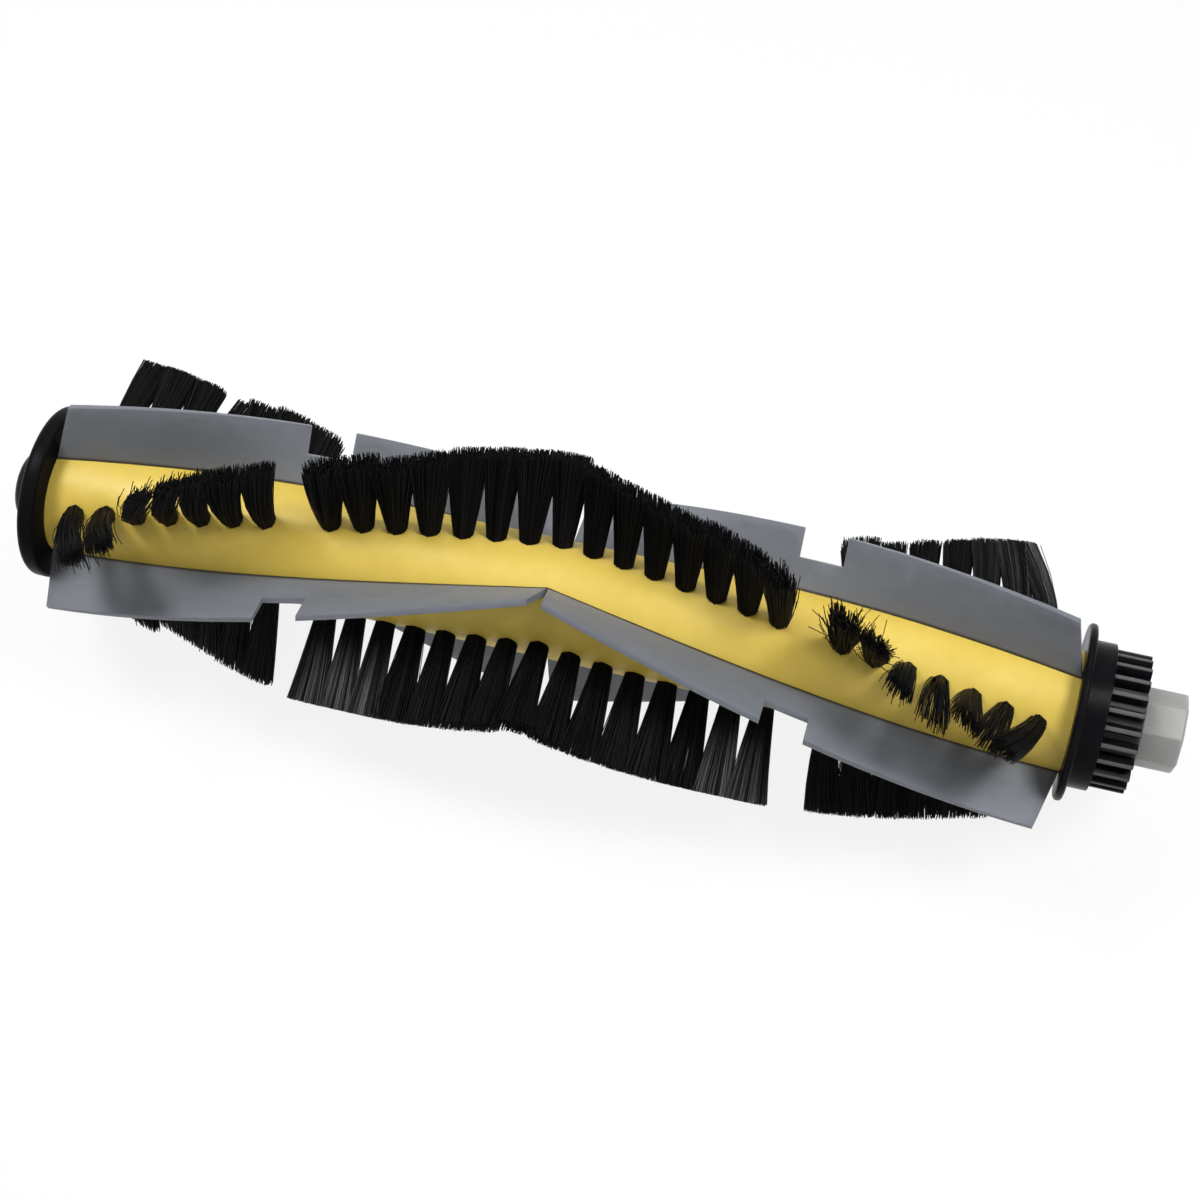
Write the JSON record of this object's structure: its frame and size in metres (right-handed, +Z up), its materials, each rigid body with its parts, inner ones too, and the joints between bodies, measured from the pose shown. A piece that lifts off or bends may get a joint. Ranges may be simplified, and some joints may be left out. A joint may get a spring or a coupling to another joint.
{
  "type": "vacuum roller brush",
  "caption": "Roller brush for a robot vacuum: yellow core with chevron rows of black bristle tufts and grey rubber blades, end bearings and a drive gear.",
  "frame": {"origin": "on the turning axis, in the middle of the left bearing's round wall", "axes": "+X along the turning axis, from the left bearing to the gear end; +Z up, with the brush lying on its bristle tips; +Y away from the viewer"},
  "size_m": [0.1816, 0.0482, 0.0476],
  "materials": {
    "yellow_plastic": "smooth moulded plastic, satin gloss",
    "grey_rubber": "soft matt rubber",
    "black_bristle": "fine nylon filaments in dense tufts",
    "black_plastic": "glossy moulded plastic",
    "black_bearing": "satin moulded plastic",
    "nylon": "milky natural nylon",
    "steel": "plain drawn steel"
  },
  "bodies": {
    "roller": {"core": "yellow_plastic", "blade_a_left": "grey_rubber", "blade_a_right": "grey_rubber", "blade_b_left": "grey_rubber", "blade_b_right": "grey_rubber", "blade_c_left": "grey_rubber", "blade_c_right": "grey_rubber", "bristles_a_left": "black_bristle", "bristles_a_middle": "black_bristle", "bristles_a_right": "black_bristle", "bristles_b_left": "black_bristle", "bristles_b_middle": "black_bristle", "bristles_b_right": "black_bristle", "bristles_c_left": "black_bristle", "bristles_c_middle": "black_bristle", "bristles_c_right": "black_bristle", "staples_a": "steel", "staples_b": "steel", "staples_c": "steel", "left_end_cap": "black_plastic", "drive_gear": "black_plastic", "axle": "steel"},
    "left_bearing": {"left_bearing": "black_bearing"},
    "right_bush": {"right_bush": "nylon"}
  },
  "joints": [
    {"name": "left_bearing_turn", "type": "hinge", "parent": "roller", "child": "left_bearing", "pos_m": [0, 0, 0], "axis": [1, 0, 0], "continuous": true},
    {"name": "right_bush_turn", "type": "hinge", "parent": "roller", "child": "right_bush", "pos_m": [0.17575, 0, 0], "axis": [1, 0, 0], "continuous": true}
  ]
}
